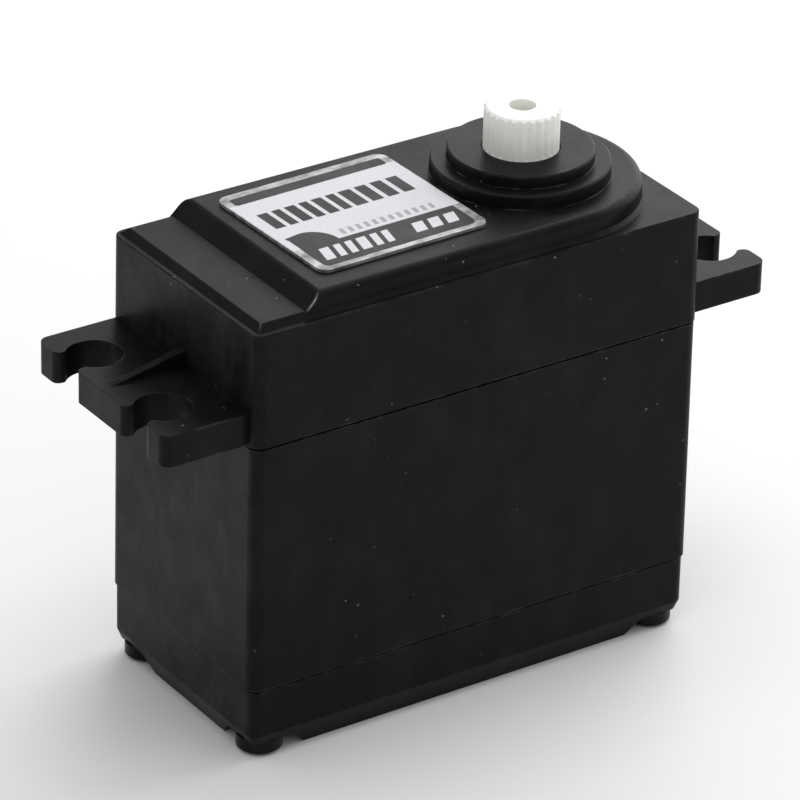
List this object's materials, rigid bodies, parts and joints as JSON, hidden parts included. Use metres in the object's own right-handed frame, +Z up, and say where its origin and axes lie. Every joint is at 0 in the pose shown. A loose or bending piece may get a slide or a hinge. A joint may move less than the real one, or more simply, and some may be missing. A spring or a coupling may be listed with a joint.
{
  "type": "servo motor",
  "caption": "Boxy hobby servo in three moulded case pieces, with slotted mounting tabs, a round boss and a splined output driven by a motor, gears and a position sensor.",
  "frame": {"origin": "centre of the four mounting holes, on the underside of the two mounting tabs", "axes": "+Z up along the output shaft, +X along the case towards the output end, +Y across the case"},
  "size_m": [0.055, 0.0206, 0.0437],
  "materials": {
    "case_plastic": "satin",
    "label_film": "satin",
    "screw_steel": "satin",
    "grommet_rubber": "matte",
    "pin_steel": "polished",
    "gear_nylon": "satin",
    "pinion_brass": "satin",
    "bearing_steel": "polished",
    "cage_brass": "satin",
    "motor_steel": "satin",
    "motor_nylon": "satin",
    "bushing_bronze": "satin",
    "magnet_ferrite": "matte",
    "spring_brass": "satin",
    "core_iron": "satin",
    "winding_copper": "gloss",
    "commutator_copper": "satin",
    "sensor_plastic": "satin",
    "track_carbon": "satin",
    "tinned_metal": "satin",
    "wire_insulation": "satin",
    "board_laminate": "satin",
    "chip_plastic": "matte",
    "capacitor_can": "satin"
  },
  "bodies": {
    "case": {"bottom_cover": "case_plastic", "middle_case": "case_plastic", "top_case": "case_plastic", "label": "label_film", "case_screws": "screw_steel", "cable_gland": "grommet_rubber", "centre_pin": "pin_steel", "second_pin": "pin_steel", "upper_bearing_outer_ring": "bearing_steel", "lower_bearing_outer_ring": "bearing_steel", "motor_can": "motor_steel", "motor_front_bushing": "bushing_bronze", "motor_magnets": "magnet_ferrite", "motor_end_bell": "motor_nylon", "motor_brushes": "spring_brass", "motor_screws": "pin_steel", "pot_housing": "sensor_plastic", "pot_track": "track_carbon", "pot_terminals": "tinned_metal", "pot_wires": "wire_insulation", "circuit_board": "board_laminate", "control_chip": "chip_plastic", "driver_chips": "chip_plastic", "board_capacitor": "capacitor_can"},
    "motor_rotor": {"motor_shaft": "pin_steel", "motor_pinion": "pinion_brass", "armature_core": "core_iron", "armature_windings": "winding_copper", "commutator": "commutator_copper"},
    "first_gear": {"gear_1": "gear_nylon"},
    "second_gear": {"gear_2": "gear_nylon"},
    "third_gear": {"gear_3": "gear_nylon"},
    "output": {"output_gear": "gear_nylon", "upper_bearing_inner_ring": "bearing_steel", "lower_bearing_inner_ring": "bearing_steel", "pot_shaft": "sensor_plastic", "pot_wiper": "spring_brass"},
    "upper_ball_set": {"upper_bearing_balls": "bearing_steel", "upper_bearing_cage": "cage_brass"},
    "lower_ball_set": {"lower_bearing_balls": "bearing_steel", "lower_bearing_cage": "cage_brass"}
  },
  "joints": [
    {"name": "motor_spin", "type": "hinge", "parent": "case", "child": "motor_rotor", "pos_m": [-0.00679, 0, 0], "axis": [0, 0, 1], "range_deg": [-15724.8, 15724.8]},
    {"name": "gear_1_spin", "type": "hinge", "parent": "case", "child": "first_gear", "pos_m": [0.00031, -0.0024, 0], "axis": [0, 0, 1], "range_deg": [-3945, 3945]},
    {"name": "gear_2_spin", "type": "hinge", "parent": "case", "child": "second_gear", "pos_m": [-0.00498, 0.0027, 0], "axis": [0, 0, 1], "range_deg": [-1012, 1012]},
    {"name": "gear_3_spin", "type": "hinge", "parent": "case", "child": "third_gear", "pos_m": [0.00031, -0.0024, 0], "axis": [0, 0, 1], "range_deg": [-317, 317]},
    {"name": "output_spin", "type": "hinge", "parent": "case", "child": "output", "pos_m": [0.01015, 0, 0], "axis": [0, 0, 1], "range_deg": [-90.6, 90.6]},
    {"name": "upper_ball_set_spin", "type": "hinge", "parent": "case", "child": "upper_ball_set", "pos_m": [0.01015, 0, 0], "axis": [0, 0, 1], "range_deg": [-40, 40]},
    {"name": "lower_ball_set_spin", "type": "hinge", "parent": "case", "child": "lower_ball_set", "pos_m": [0.01015, 0, 0], "axis": [0, 0, 1], "range_deg": [-37, 37]}
  ],
  "couplings": [
    {"joint": "gear_1_spin", "follows": "motor_spin", "ratio": -0.25},
    {"joint": "gear_2_spin", "follows": "motor_spin", "ratio": 0.064103},
    {"joint": "gear_3_spin", "follows": "motor_spin", "ratio": -0.020032},
    {"joint": "output_spin", "follows": "motor_spin", "ratio": 0.0057234},
    {"joint": "upper_ball_set_spin", "follows": "motor_spin", "ratio": 0.0024897},
    {"joint": "lower_ball_set_spin", "follows": "motor_spin", "ratio": 0.0022894}
  ]
}
